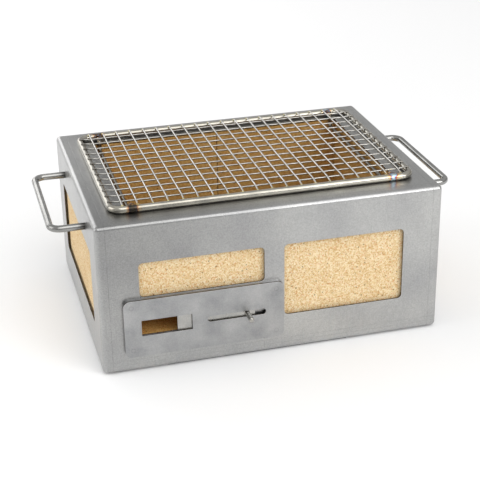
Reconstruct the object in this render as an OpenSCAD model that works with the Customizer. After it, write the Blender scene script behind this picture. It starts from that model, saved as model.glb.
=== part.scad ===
// Table-top charcoal grill: a folded stainless casing lined with fire bricks, a sliding air vent,
// two rod handles, a lift-off wire cooking grate and a lift-out charcoal grate.
// Millimetres. +X is to the right, the front faces -Y, and z = 0 is the underside of the base plate.

/* [Casing] */
// Length of the casing, left to right
body_l = 400; // [390:1:460]
// Depth of the casing, front to back
body_w = 300; // [280:1:340]
// Height of the casing, without the base plate
body_h = 180; // [176:1:220]
// Thickness of the casing sheet
sheet_t = 2; // [1.5:0.1:2.5]
// Outside radius of the folds
bend_r = 5; // [3:0.5:6]
// Width of the flat rim around the opening in the top
rim_w = 42.5; // [42:0.5:46]
// Width of the flange folded in along the bottom
flange_w = 20; // [18:1:24]

/* [Windows] */
// Width of each front and back window
window_l = 142.6; // [120:0.2:145]
// Strip of sheet between two windows
window_gap = 23.2; // [20:0.2:40]
// Height of the windows' top edge above the casing's bottom edge
window_top = 132.5; // [125:0.5:140]
// Height of the windows' bottom edge above the casing's bottom edge
window_bottom = 44; // [43:0.5:60]
// Bottom edge of the short window above the vent
vent_window_bottom = 91; // [89.5:0.5:100]
// Corner radius of the windows
window_r = 5; // [2:0.5:8]
// Distance of an end wall's window from the casing's front and back
end_window_inset = 44; // [44:1:70]

/* [Bricks] */
// Thickness of the wall bricks
brick_t = 38; // [32:1:38]
// Gap between the sheet and the front and back bricks
front_gap = 2.5; // [1.5:0.1:2.5]
// Gap between the sheet and the end bricks
end_gap = 1.4; // [1.4:0.1:2.5]
// Thickness of the floor bricks
floor_t = 40; // [36:1:40]
// Joint between two bricks
joint_gap = 0.6; // [0.2:0.1:1]

/* [Base plate] */
// Thickness of the base plate
base_t = 1.5; // [1:0.1:2]
// Distance of the base plate's edge behind the casing's faces
base_inset = 9; // [7:0.5:9]
// Length of the tongue at the front and at the back edge
tongue_l = 214; // [100:1:240]
// Sideways shift of the front tongue; the back one is shifted the other way
tongue_shift = -18; // [-30:1:30]

/* [Vent] */
// Distance of the cover plate from the casing's left side
cover_inset = 25.5; // [20:0.5:30]
// Width of the vent's cover plate
cover_l = 184; // [184:1:190]
// Height of the vent's cover plate
cover_h = 70; // [66:1:72]
// Corner radius of the cover plate
cover_r = 7.5; // [4:0.5:10]
// Thickness of the cover plate
cover_t = 2; // [1.5:0.1:2.5]
// Thickness of the spacer frame behind it
spacer_t = 3; // [2.6:0.1:3.5]
// Thickness of the slider
slider_t = 2; // [1.5:0.1:2]
// Width of the air hole
hole_l = 57.5; // [50:0.5:58]
// Height of the air hole
hole_h = 19; // [14:0.5:20]
// Length of the stud's slot, over its round ends
slot_l = 67.8; // [67.8:0.1:70]
// Width of the stud's slot
slot_h = 7; // [7:0.1:8]
// Length of the slider
slider_l = 90; // [84:1:92]
// Diameter of the slider's stud
stud_d = 6; // [5:0.5:6]
// Reach of the stud in front of the cover plate
stud_reach = 18; // [12:1:25]

/* [Handles] */
// Diameter of the handle rod
handle_d = 8; // [6:0.5:9]
// Distance between the two legs of a handle
handle_span = 160; // [100:1:170]
// Reach of the grip's centreline from the end wall
handle_reach = 38; // [30:1:60]
// Bend radius of the handle's centreline
handle_bend = 12; // [10:1:20]
// Height of the handles above the casing's bottom edge
handle_z = 153.5; // [146:0.5:160]

/* [Cooking grate] */
// Distance of the frame's centreline outside the opening, left and right
grate_over_x = 17.7; // [17:0.1:24]
// Distance of the frame's centreline outside the opening, front and back
grate_over_y = 11; // [10:0.5:16]
// Diameter of the frame rod
frame_d = 8; // [6:0.5:8]
// Corner radius of the frame's centreline
frame_bend = 14; // [12:1:20]
// Diameter of the mesh wires
wire_d = 2; // [1.6:0.1:2.5]
// Number of cross wires
cross_count = 20; // [10:1:22]
// Number of long wires
long_count = 13; // [8:1:15]
// Distance of the outermost cross wires from the frame's centreline
cross_inset = 13.2; // [12:0.1:18]
// Distance of the outermost long wires from the frame's centreline
long_inset = 16; // [12:0.5:18]
// Diameter of the locating runners
runner_d = 5; // [4:0.5:5]
// Distance of the runners' centreline inside the opening, left and right
runner_in_x = 6; // [4:0.5:10]
// Distance of the runners' upright legs inside the opening, front and back
runner_in_y = 4; // [3.5:0.5:6]
// Depth of the runners below the frame's centre
runner_drop = 13.8; // [12:0.1:20]

/* [Charcoal grate] */
// Height of the charcoal grate's top above the floor bricks
charcoal_h = 26.5; // [26.5:0.5:40]
// Thickness of the charcoal grate's plate
charcoal_t = 2; // [1.5:0.5:2]
// Gap around the plate
charcoal_gap = 3; // [2:0.5:6]
// Diameter of the air holes
air_hole_d = 10; // [6:1:14]
// Distance between two air holes
air_hole_pitch = 20; // [18:1:24]
// Diameter of the leg rod
leg_d = 6; // [5:0.5:6]

/* [Hidden] */
$fn = 64;

// Rest clearance between bodies that are lifted off each other
rest_gap = 0.3;
// Margin by which a cutting tool passes through the sheet
cut = 1;

// Casing: heights of its edges
casing_z = base_t;
top_z = casing_z + body_h;
opening_l = body_l - 2 * rim_w;
opening_w = body_w - 2 * rim_w;
end_window_w = body_w - 2 * end_window_inset;
// Bricks: the walls' inner and outer faces, and their heights
wall_out_x = body_l / 2 - sheet_t - end_gap;
wall_out_y = body_w / 2 - sheet_t - front_gap;
wall_in_x = wall_out_x - brick_t;
wall_in_y = wall_out_y - brick_t;
floor_z = casing_z + sheet_t + floor_t;
wall_top = top_z - sheet_t - 1;

// Vent: its centre on the front, the air hole's and the slot's centres, and the slider's travel
vent_x = cover_inset + (cover_l - body_l) / 2;
vent_z = casing_z + 55;
hole_x = vent_x - 43.55;
slot_x = vent_x + 36.8;
slider_x = vent_x + 13.6;
stud_x = slider_x + slider_l / 2 - 9.4;
slider_h = hole_h + 8;
travel_open = 17.8;
travel_close = 42.8;
channel_l = slider_l + travel_open + travel_close + 4;
channel_x = slider_x + (travel_open - travel_close) / 2;
front_y = -body_w / 2;
cover_y = front_y - spacer_t - cover_t;
tunnel_l = 60;
tunnel_top = 68.5;

// Handles: reach of the legs and of their weld collars behind the sheet
collar_t = 1.2;

// Base screws: radius, countersunk head and distance behind the casing's faces
screw_r = 1.5;
screw_head_r = 2.7;
screw_inset = 13;
screw_places = [
    for (sx = [-1, 0, 1], sy = [-1, 1]) [sx * 150, sy * (body_w / 2 - screw_inset)],
    for (sx = [-1, 1]) [sx * (body_l / 2 - screw_inset), 0]
];

// Cooking grate: its centreline's size, and the heights of the frame's and the wires' centres
grate_l = opening_l + 2 * grate_over_x;
grate_w = opening_w + 2 * grate_over_y;
cross_pitch = (grate_l - 2 * cross_inset) / (cross_count - 1);
long_pitch = (grate_w - 2 * long_inset) / (long_count - 1);
runner_gap = opening_l - 2 * runner_in_x;
runner_span = opening_w - 2 * runner_in_y;
frame_z = top_z + rest_gap + frame_d / 2;
long_z = frame_z + 2.8;
cross_z = long_z + wire_d;
wire_end = 2;
runner_bend = 5;

// Charcoal grate
charcoal_z = floor_z + charcoal_h;
leg_x = 85;
leg_span = 170;
leg_bend = 9;

// Block with rounded upright edges, standing on z = 0; its top and, where foot_r > 0, its foot are rounded too
module folded_block(l, w, h, r, foot_r) {
    for (s = [[l - 2 * r, w], [l, w - 2 * r]])
        translate([-s[0] / 2, -s[1] / 2, foot_r]) cube([s[0], s[1], h - r - foot_r]);
    translate([r - l / 2, r - w / 2, 0]) cube([l - 2 * r, w - 2 * r, h]);
    for (sx = [-1, 1], sy = [-1, 1])
        translate([sx * (l / 2 - r), sy * (w / 2 - r), foot_r]) cylinder(r = r, h = h - r - foot_r);
    for (z = foot_r > 0 ? [r, h - r] : [h - r]) {
        for (sx = [-1, 1], sy = [-1, 1]) translate([sx * (l / 2 - r), sy * (w / 2 - r), z]) sphere(r = r);
        for (s = [-1, 1]) {
            translate([r - l / 2, s * (w / 2 - r), z]) rotate([0, 90, 0]) cylinder(r = r, h = l - 2 * r);
            translate([s * (l / 2 - r), r - w / 2, z]) rotate([-90, 0, 0]) cylinder(r = r, h = w - 2 * r);
        }
    }
}

// Flat outline with round corners, centred
module round_rect(l, w, r) {
    square([l - 2 * r, w], center = true);
    square([l, w - 2 * r], center = true);
    for (sx = [-1, 1], sy = [-1, 1]) translate([sx * (l / 2 - r), sy * (w / 2 - r)]) circle(r);
}

// Upright plate in the XZ plane, its outline centred on x and z, from y to y + t
module front_plate(x, y, z, t) {
    translate([x, y + t, z]) rotate([90, 0, 0]) linear_extrude(t) children();
}

// Window through the front wall, between two heights above the casing's bottom edge
module front_window(x, low, high) {
    front_plate(x, front_y - cut, casing_z + (low + high) / 2, sheet_t + 2 * cut)
        round_rect(window_l, high - low, window_r);
}

// Brick between two corners
module brick(a, b) {
    translate(a) cube(b - a);
}

// Straight rod along +X from the origin
module rod(d, l) {
    rotate([0, 90, 0]) cylinder(d = d, h = l);
}

// Quarter bend around the origin, from the +X side to the +Y side
module elbow(d, r) {
    rotate_extrude(angle = 90) translate([r, 0]) circle(d = d);
}

// Rod bent to a U: its legs run along +X, and its bar lies along Y at x = reach
module rod_u(d, span, reach, r) {
    for (m = [0, 1]) mirror([0, m, 0]) {
        translate([0, span / 2, 0]) rod(d, reach - r);
        translate([reach - r, span / 2 - r, 0]) elbow(d, r);
    }
    translate([reach, r - span / 2, 0]) rotate([0, 0, 90]) rod(d, span - 2 * r);
}

module outer_casing() {
    color("silver") difference() {
        translate([0, 0, casing_z]) folded_block(body_l, body_w, body_h, bend_r, bend_r);
        // the inside, down to the flange
        translate([0, 0, casing_z + sheet_t])
            folded_block(body_l - 2 * sheet_t, body_w - 2 * sheet_t, body_h - 2 * sheet_t, bend_r - sheet_t, 0);
        // bottom opening inside the flange, and top opening
        translate([flange_w - body_l / 2, flange_w - body_w / 2, casing_z - cut])
            cube([body_l - 2 * flange_w, body_w - 2 * flange_w, sheet_t + 2 * cut]);
        translate([-opening_l / 2, -opening_w / 2, top_z - sheet_t - cut])
            cube([opening_l, opening_w, sheet_t + 2 * cut]);
        // front windows, the left one short, and back windows
        front_window(-(window_l + window_gap) / 2, vent_window_bottom, window_top);
        front_window((window_l + window_gap) / 2, window_bottom, window_top);
        for (s = [-1, 1])
            rotate([0, 0, 180]) front_window(s * (window_l + window_gap) / 2, window_bottom, window_top);
        // one window through each end wall
        for (a = [90, 270]) rotate([0, 0, a])
            front_plate(0, -body_l / 2 - cut, casing_z + (window_bottom + window_top) / 2, sheet_t + 2 * cut)
                round_rect(end_window_w, window_top - window_bottom, window_r);
        // air hole behind the vent
        front_plate(hole_x, front_y - cut, vent_z, sheet_t + 2 * cut)
            square([tunnel_l, hole_h + 3], center = true);
        // holes for the handle legs
        for (sx = [-1, 1], sy = [-1, 1])
            translate([sx * (body_l / 2 - sheet_t / 2), sy * handle_span / 2, casing_z + handle_z])
                rotate([0, 90, 0]) cylinder(d = handle_d, h = sheet_t + 2 * cut, center = true);
        // tapped holes in the flange
        for (p = screw_places)
            translate([p[0], p[1], casing_z - cut]) cylinder(r = screw_r, h = sheet_t + 2 * cut);
    }
}

module base_plate() {
    color("dimgray") difference() {
        union() {
            translate([base_inset - body_l / 2, base_inset - body_w / 2, 0])
                cube([body_l - 2 * base_inset, body_w - 2 * base_inset, base_t]);
            for (a = [0, 180]) rotate([0, 0, a])
                translate([tongue_shift - tongue_l / 2, front_y + bend_r, 0])
                    cube([tongue_l, base_inset, base_t]);
        }
        for (p = screw_places) translate([p[0], p[1], 0])
            cylinder(r1 = screw_head_r + 0.1, r2 = screw_r + 0.1, h = base_t);
    }
}

module base_screws() {
    for (p = screw_places) translate([p[0], p[1], 0.1]) color("lightgray") difference() {
        union() {
            cylinder(r1 = screw_head_r, r2 = screw_r, h = base_t - 0.1);
            cylinder(r = screw_r, h = base_t + sheet_t - 0.3);
        }
        // hexagon socket
        translate([0, 0, -cut]) cylinder(r = 1.1, h = cut + 0.9, $fn = 6);
    }
}

// A quarter of the floor, on the flange; sx and sy are -1 or 1
module floor_brick(sx, sy) {
    size = [wall_out_x - joint_gap / 2, wall_out_y - joint_gap / 2, floor_t];
    color("tan") translate([sx < 0 ? -wall_out_x : joint_gap / 2, sy < 0 ? -wall_out_y : joint_gap / 2, floor_z])
        translate([0, 0, -floor_t]) cube(size);
}

// Front or back wall brick, on one side of the middle
module long_wall_brick(side, front) {
    y0 = front ? -wall_out_y : wall_in_y;
    x0 = side < 0 ? -wall_out_x : joint_gap / 2;
    color("wheat") brick([x0, y0, floor_z], [x0 + wall_out_x - joint_gap / 2, y0 + brick_t, wall_top]);
}

// The left front brick is notched along its foot for the air tunnel
module front_brick_left() {
    color("wheat") difference() {
        long_wall_brick(-1, true);
        translate([hole_x - tunnel_l / 2, -wall_out_y - cut, floor_z - cut])
            cube([tunnel_l, brick_t + 2 * cut, tunnel_top - floor_z + cut]);
    }
}

module side_brick(side) {
    x0 = side < 0 ? -wall_out_x : wall_in_x;
    color("wheat") brick([x0, joint_gap - wall_in_y, floor_z], [x0 + brick_t, wall_in_y - joint_gap, wall_top]);
}

module handle() {
    // the legs pass through the sheet and end inside the weld collars
    color("gainsboro") translate([body_l / 2 - sheet_t - collar_t, 0, casing_z + handle_z])
        rod_u(handle_d, handle_span, handle_reach + sheet_t + collar_t, handle_bend);
}

module handle_weld_collars() {
    for (sx = [-1, 1], sy = [-1, 1])
        translate([sx * (body_l / 2 - sheet_t), sy * handle_span / 2, casing_z + handle_z])
            rotate([0, -90 * sx, 0]) color("gray") difference() {
                cylinder(d1 = handle_d + 4.4, d2 = handle_d + 1.6, h = collar_t);
                translate([0, 0, -cut]) cylinder(d = handle_d, h = collar_t + 2 * cut);
            }
}

module vent_spacer_frame() {
    color("darkgray") front_plate(vent_x, front_y - spacer_t, vent_z, spacer_t) difference() {
        round_rect(cover_l, cover_h, cover_r);
        translate([channel_x - vent_x, 0]) square([channel_l, slider_h + 0.6], center = true);
    }
}

module vent_cover_plate() {
    color("silver") front_plate(vent_x, cover_y, vent_z, cover_t) difference() {
        round_rect(cover_l, cover_h, cover_r);
        translate([hole_x - vent_x, 0]) square([hole_l, hole_h], center = true);
        translate([slot_x - vent_x, 0]) round_rect(slot_l, slot_h, slot_h / 2 - 0.001);
    }
}

module vent_slider() {
    color("lightgray") front_plate(slider_x, front_y - (spacer_t + slider_t) / 2, vent_z, slider_t)
        square([slider_l, slider_h], center = true);
}

module slider_stud() {
    tip = 0.9;
    length = stud_reach + cover_t + (spacer_t - slider_t) / 2;
    color("gainsboro") translate([stud_x, front_y - (spacer_t + slider_t) / 2, vent_z]) rotate([90, 0, 0]) {
        cylinder(d = stud_d, h = length - tip);
        translate([0, 0, length - tip]) cylinder(d1 = stud_d, d2 = stud_d - 2 * tip, h = tip);
    }
}

module grate_frame() {
    color("silver") translate([0, 0, frame_z]) {
        for (m = [0, 1]) mirror([m, 0, 0]) {
            rod_u(frame_d, grate_w, grate_l / 2, frame_bend);
        }
    }
}

module grate_long_wires() {
    length = grate_l - 2 * wire_end;
    for (i = [0:long_count - 1])
        color("gainsboro") translate([-length / 2, (i - (long_count - 1) / 2) * long_pitch, long_z])
            rod(wire_d, length);
}

module grate_cross_wires() {
    length = grate_w - 2 * wire_end;
    for (i = [0:cross_count - 1])
        color("gainsboro") translate([(i - (cross_count - 1) / 2) * cross_pitch, -length / 2, cross_z])
            rotate([0, 0, 90]) rod(wire_d, length);
}

// Runner: a bar below the ledge, two upright legs inside the opening and ends welded to the frame
module grate_runner(side) {
    end_l = (grate_w - runner_span) / 2 - runner_bend - 2.5;
    color("silver") translate([side * runner_gap / 2, 0, frame_z]) for (m = [0, 1]) mirror([0, m, 0]) {
        // half of the bar, the lower bend, the leg, the upper bend and the end
        translate([0, 0, -runner_drop]) rotate([0, 0, 90]) rod(runner_d, runner_span / 2 - runner_bend);
        translate([0, runner_span / 2 - runner_bend, runner_bend - runner_drop])
            rotate([0, 90, 0]) elbow(runner_d, runner_bend);
        translate([0, runner_span / 2, runner_bend - runner_drop])
            cylinder(d = runner_d, h = runner_drop - 2 * runner_bend);
        translate([0, runner_span / 2 + runner_bend, -runner_bend])
            rotate([0, -90, 0]) mirror([0, 1, 0]) elbow(runner_d, runner_bend);
        translate([0, runner_span / 2 + runner_bend, 0]) rotate([0, 0, 90]) rod(runner_d, end_l);
    }
}

module charcoal_grate_plate() {
    l = opening_l - 2 * charcoal_gap;
    w = opening_w - 2 * charcoal_gap;
    nx = floor((l - 2 * air_hole_d) / air_hole_pitch / 2);
    ny = floor((w - 2 * air_hole_d) / air_hole_pitch / 2);
    color("dimgray") translate([0, 0, charcoal_z - charcoal_t]) linear_extrude(charcoal_t) difference() {
        round_rect(l, w, 4);
        for (i = [-nx:nx], j = [-ny:ny])
            translate([i * air_hole_pitch, j * air_hole_pitch]) circle(d = air_hole_d, $fn = 32);
    }
}

// Leg: a rod U that stands on the floor bricks with its legs up
module charcoal_leg(side) {
    reach = charcoal_h - charcoal_t - rest_gap - leg_d / 2;
    color("dimgray") translate([side * leg_x, 0, charcoal_z - charcoal_t])
        rotate([0, 90, 0]) rod_u(leg_d, leg_span, reach, leg_bend);
}

outer_casing();
base_plate();
base_screws();
floor_brick(-1, -1);  // floor_brick_front_left
floor_brick(1, -1);  // floor_brick_front_right
floor_brick(-1, 1);  // floor_brick_back_left
floor_brick(1, 1);  // floor_brick_back_right
front_brick_left();
long_wall_brick(1, true);  // front_brick_right
long_wall_brick(-1, false);  // back_brick_left
long_wall_brick(1, false);  // back_brick_right
side_brick(-1);  // side_brick_left
side_brick(1);  // side_brick_right
mirror([1, 0, 0]) handle();  // handle_left
handle();  // handle_right
handle_weld_collars();
vent_spacer_frame();
vent_cover_plate();
vent_slider();
slider_stud();
grate_frame();
grate_long_wires();
grate_cross_wires();
grate_runner(-1);  // grate_runner_left
grate_runner(1);  // grate_runner_right
charcoal_grate_plate();
charcoal_leg(-1);  // charcoal_leg_left
charcoal_leg(1);  // charcoal_leg_right
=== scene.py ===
import math
import random

import bmesh
import bpy
from mathutils import Matrix, Vector, noise


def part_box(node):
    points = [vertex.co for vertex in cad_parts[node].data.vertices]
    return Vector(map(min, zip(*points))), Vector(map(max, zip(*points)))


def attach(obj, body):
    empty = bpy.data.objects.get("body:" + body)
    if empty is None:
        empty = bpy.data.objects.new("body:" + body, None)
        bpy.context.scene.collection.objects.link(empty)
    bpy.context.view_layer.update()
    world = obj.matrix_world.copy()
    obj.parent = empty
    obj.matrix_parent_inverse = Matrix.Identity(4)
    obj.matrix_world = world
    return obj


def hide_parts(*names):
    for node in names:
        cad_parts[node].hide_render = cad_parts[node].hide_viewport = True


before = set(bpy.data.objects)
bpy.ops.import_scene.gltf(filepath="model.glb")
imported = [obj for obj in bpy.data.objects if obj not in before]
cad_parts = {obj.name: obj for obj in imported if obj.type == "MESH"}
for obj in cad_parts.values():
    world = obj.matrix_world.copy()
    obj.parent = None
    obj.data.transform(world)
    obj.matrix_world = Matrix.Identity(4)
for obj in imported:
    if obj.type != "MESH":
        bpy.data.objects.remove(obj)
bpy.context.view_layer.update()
mm = 0.001


# colours, nodes and materials

def hexToLinear(code):
    # an sRGB hex colour as linear red, green, blue and alpha
    values = [int(code[i:i + 2], 16) / 255 for i in (1, 3, 5)]
    return [v / 12.92 if v <= 0.04045 else ((v + 0.055) / 1.055) ** 2.4 for v in values] + [1.0]


def addNode(tree, kind, settings=None, links=None):
    # a setting is a property of the node, one of its sockets, or "stops" for a colour ramp
    node = tree.nodes.new("ShaderNode" + kind)
    for name, value in (settings or {}).items():
        if isinstance(value, str) and value.startswith("#"):
            value = hexToLinear(value)
        if name == "stops":
            ramp = node.color_ramp
            while len(ramp.elements) < len(value):
                ramp.elements.new(0.5)
            for element, (place, colour) in zip(ramp.elements, value):
                element.position = place
                element.color = hexToLinear(colour) if isinstance(colour, str) else [colour] * 3 + [1]
        elif isinstance(name, str) and hasattr(node, name):
            setattr(node, name, value)
        else:
            node.inputs[name].default_value = value
    for name, source in (links or {}).items():
        tree.links.new(source, node.inputs[name])
    return node


def startMaterial(name, settings):
    # a material with its shader, and the piece's own coordinates in metres
    material = bpy.data.materials.new(name)
    material.use_nodes = True
    tree = material.node_tree
    tree.nodes.clear()
    shader = addNode(tree, "BsdfPrincipled", settings)
    addNode(tree, "OutputMaterial", links={"Surface": shader.outputs[0]})
    place = addNode(tree, "TexCoord").outputs["Object"]
    return material, tree, shader, place


def perMetre(size):
    # scale of a pattern whose repeat is this many millimetres
    return 1000 / size


# meshes

# edges sharper than these angles stay sharp: on sheet and brick, on rods, and on weld beads
sheetEdges, rodEdges, allSmooth = 40, 60, 180


def finishMesh(bm, name, smoothAngle):
    # smooth shading with true flats: sharp edges by angle, and normals weighted by face area
    bmesh.ops.recalc_face_normals(bm, faces=bm.faces)
    mesh = bpy.data.meshes.new(name)
    bm.to_mesh(mesh)
    bm.free()
    mesh.shade_smooth()
    mesh.set_sharp_from_angle(angle=math.radians(smoothAngle))
    holder = bpy.data.objects.new(name, mesh)
    bpy.context.scene.collection.objects.link(holder)
    weight = holder.modifiers.new("weight", "WEIGHTED_NORMAL")
    weight.keep_sharp = True
    return evaluatedMesh(holder, name)


def evaluatedMesh(holder, name):
    # the holder's mesh with its modifiers applied; the holder itself goes
    bpy.context.view_layer.update()
    graph = bpy.context.evaluated_depsgraph_get()
    mesh = bpy.data.meshes.new_from_object(holder.evaluated_get(graph))
    bpy.data.objects.remove(holder)
    mesh.name = name
    return mesh


def cutAway(bm, cutters):
    # the solid in bm less the solids in cutters; two stand-in slots keep the faces' material numbers
    bmesh.ops.recalc_face_normals(cutters, faces=cutters.faces)
    holders = []
    for solid in (bm, cutters):
        mesh = bpy.data.meshes.new("solid")
        solid.to_mesh(mesh)
        solid.free()
        for slot in ("face", "cutEdge"):
            mesh.materials.append(bpy.data.materials.get(slot) or bpy.data.materials.new(slot))
        holders.append(bpy.data.objects.new("solid", mesh))
        bpy.context.scene.collection.objects.link(holders[-1])
    cut = holders[0].modifiers.new("cut", "BOOLEAN")
    cut.operation = "DIFFERENCE"
    cut.solver = "EXACT"
    cut.object = holders[1]
    cut.material_mode = "INDEX"
    result = bmesh.new()
    result.from_mesh(evaluatedMesh(holders[0], "cut"))
    bpy.data.objects.remove(holders[1])
    bmesh.ops.remove_doubles(result, verts=result.verts, dist=2e-6)
    return result


def addPiece(name, bm, smoothAngle, material, body, nodes=(), edgeMaterial=None):
    # the faces that a cutter left may have a material of their own
    mesh = finishMesh(bm, name, smoothAngle)
    piece = bpy.data.objects.new(name, mesh)
    bpy.context.scene.collection.objects.link(piece)
    indices = [face.material_index if edgeMaterial else 0 for face in mesh.polygons]
    mesh.materials.clear()
    mesh.materials.append(material)
    if edgeMaterial:
        mesh.materials.append(edgeMaterial)
    mesh.polygons.foreach_set("material_index", indices)
    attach(piece, body)
    if nodes:
        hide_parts(*nodes)
    return piece


def roundedRect(centre, size, radius, steps=8):
    # points of a rectangle with round corners, counter-clockwise
    points = []
    for k, (sx, sy) in enumerate([(1, 1), (-1, 1), (-1, -1), (1, -1)]):
        cx = centre[0] + sx * (size[0] / 2 - radius)
        cy = centre[1] + sy * (size[1] / 2 - radius)
        for i in range(steps + 1):
            a = (k + i / steps) * math.pi / 2
            points.append((cx + radius * math.cos(a), cy + radius * math.sin(a)))
    return points


def addLoft(bm, rings, cutBand=-1):
    # closed solid through rings of points, capped at both ends; one band may be marked as a cut edge
    loops = [[bm.verts.new(p) for p in ring] for ring in rings]
    count = len(loops[0])
    for n, (a, b) in enumerate(zip(loops, loops[1:])):
        for k in range(count):
            face = bm.faces.new((a[k], a[(k + 1) % count], b[(k + 1) % count], b[k]))
            face.material_index = int(n == cutBand)
    bm.faces.new(loops[0][::-1])
    bm.faces.new(loops[-1])


def upright(u, v, d):
    # place of a point on an upright sheet that faces the front
    return Vector((u, d, v))


def addSlab(bm, place, centre, size, radius, depth, edge, cutter=False, steps=8):
    # round-cornered slab from depth[0] to depth[1], or a tool that cuts such a hole; either leaves
    # the sheet's edges broken by a small radius
    near, far = depth
    arc = [(edge * (1 - math.cos(a)), edge * (1 - math.sin(a))) for a in (0, math.pi / 6, math.pi / 3, math.pi / 2)]
    side = 1 if cutter else -1
    profile = [(near + d, side * o) for d, o in arc] + [(far - d, side * o) for d, o in arc[::-1]]
    if cutter:
        profile = [(near - mm, edge)] + profile + [(far + mm, edge)]
    rings = []
    for d, o in profile:
        outline = roundedRect(centre, (size[0] + 2 * o, size[1] + 2 * o), max(radius + o, 0.02 * mm), steps)
        rings.append([place(u, v, d) for u, v in outline])
    addLoft(bm, rings, len(rings) // 2 - 1)


def bentPath(corners, radius, closed=False, steps=10):
    # a line through the corners, with an arc of this radius at each bend
    points = []
    count = len(corners)
    for i, corner in enumerate(corners):
        c = Vector(corner)
        if not closed and i in (0, count - 1):
            points.append(c)
            continue
        a = (Vector(corners[i - 1]) - c).normalized()
        b = (Vector(corners[(i + 1) % count]) - c).normalized()
        half = a.angle(b) / 2
        centre = c + (a + b).normalized() * (radius / math.sin(half))
        start = c + a * (radius / math.tan(half)) - centre
        end = c + b * (radius / math.tan(half)) - centre
        axis = start.cross(end)
        for k in range(steps + 1):
            points.append(centre + Matrix.Rotation((math.pi - 2 * half) * k / steps, 3, axis) @ start)
    return points


def sweepRod(bm, path, radius, sides=24, closed=False, endRound=0.0):
    # a round rod along a path; its open ends are capped, with a rim rounded by endRound
    count = len(path)
    stations = []
    for i, point in enumerate(path):
        before = path[i - 1] if closed or i else path[0]
        after = path[(i + 1) % count] if closed or i < count - 1 else path[-1]
        stations.append((point, (after - before).normalized(), radius))
    if not closed and endRound:
        for index, sign in ((0, 1), (-1, -1)):
            p, t, r = stations[index]
            rim = [(p + t * sign * endRound * (1 - math.sin(a)), t, r - endRound * (1 - math.cos(a)))
                   for a in (math.pi / 2, math.pi / 4, 0)]
            stations = rim + stations[1:] if index == 0 else stations[:-1] + rim[::-1]
    side = stations[0][1].orthogonal().normalized()
    rings = []
    for p, t, r in stations:
        side = (side - t * side.dot(t)).normalized()
        up = t.cross(side)
        rings.append([bm.verts.new(p + (side * math.cos(a) + up * math.sin(a)) * r)
                      for a in (2 * math.pi * k / sides for k in range(sides))])
    pairs = list(zip(rings, rings[1:] + rings[:1])) if closed else list(zip(rings, rings[1:]))
    for n, (a, b) in enumerate(pairs):
        shift = 0
        if closed and n == len(pairs) - 1:
            shift = min(range(sides), key=lambda s: (a[0].co - b[s].co).length)
        for k in range(sides):
            bm.faces.new((a[k], a[(k + 1) % sides], b[(k + 1 + shift) % sides], b[(k + shift) % sides]))
    if not closed:
        bm.faces.new(rings[0][::-1])
        bm.faces.new(rings[-1])


def addLump(bm, centre, size, roughness, seed):
    # an uneven bead of weld metal
    made = bmesh.ops.create_icosphere(bm, subdivisions=2, radius=1)
    for v in made["verts"]:
        bump = 1 + roughness * noise.noise(v.co * 1.7 + Vector((seed * 7.3, seed * 3.1, 0)))
        v.co = Vector(centre) + Vector((v.co.x * size[0], v.co.y * size[1], v.co.z * size[2])) * bump


# camera, floor and lights

def placeCamera():
    view = {"azimuth": -14.825, "elevation": 24.951, "roll": -1.008, "distance": 1.527, "lens": 92.92,
            "aimRight": 0.00044, "aimUp": -0.01538}
    turn = (Matrix.Rotation(math.radians(view["azimuth"]), 3, "Z")
            @ Matrix.Rotation(math.radians(90 - view["elevation"]), 3, "X")
            @ Matrix.Rotation(math.radians(view["roll"]), 3, "Z"))
    low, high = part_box("outer_casing")
    aim = (low + high) / 2 + turn @ Vector((view["aimRight"], view["aimUp"], 0))
    data = bpy.data.cameras.new("camera")
    data.lens = view["lens"]
    data.sensor_width = 36
    data.clip_start = 0.05
    data.clip_end = 50
    camera = bpy.data.objects.new("camera", data)
    camera.matrix_world = Matrix.Translation(aim + turn @ Vector((0, 0, view["distance"]))) @ turn.to_4x4()
    bpy.context.scene.collection.objects.link(camera)
    bpy.context.scene.camera = camera


def addFloor():
    # pale matt card, far larger than the view
    card = {"size": 12.0, "colour": "#fafafa", "below": 0.0002}
    bm = bmesh.new()
    bmesh.ops.create_grid(bm, x_segments=1, y_segments=1, size=card["size"])
    material = startMaterial("paleCard", {"Base Color": card["colour"], "Roughness": 0.9})[0]
    floor = bpy.data.objects.new("floor", finishMesh(bm, "floor", sheetEdges))
    floor.data.materials.append(material)
    floor.location.z = -card["below"]
    bpy.context.scene.collection.objects.link(floor)


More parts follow.
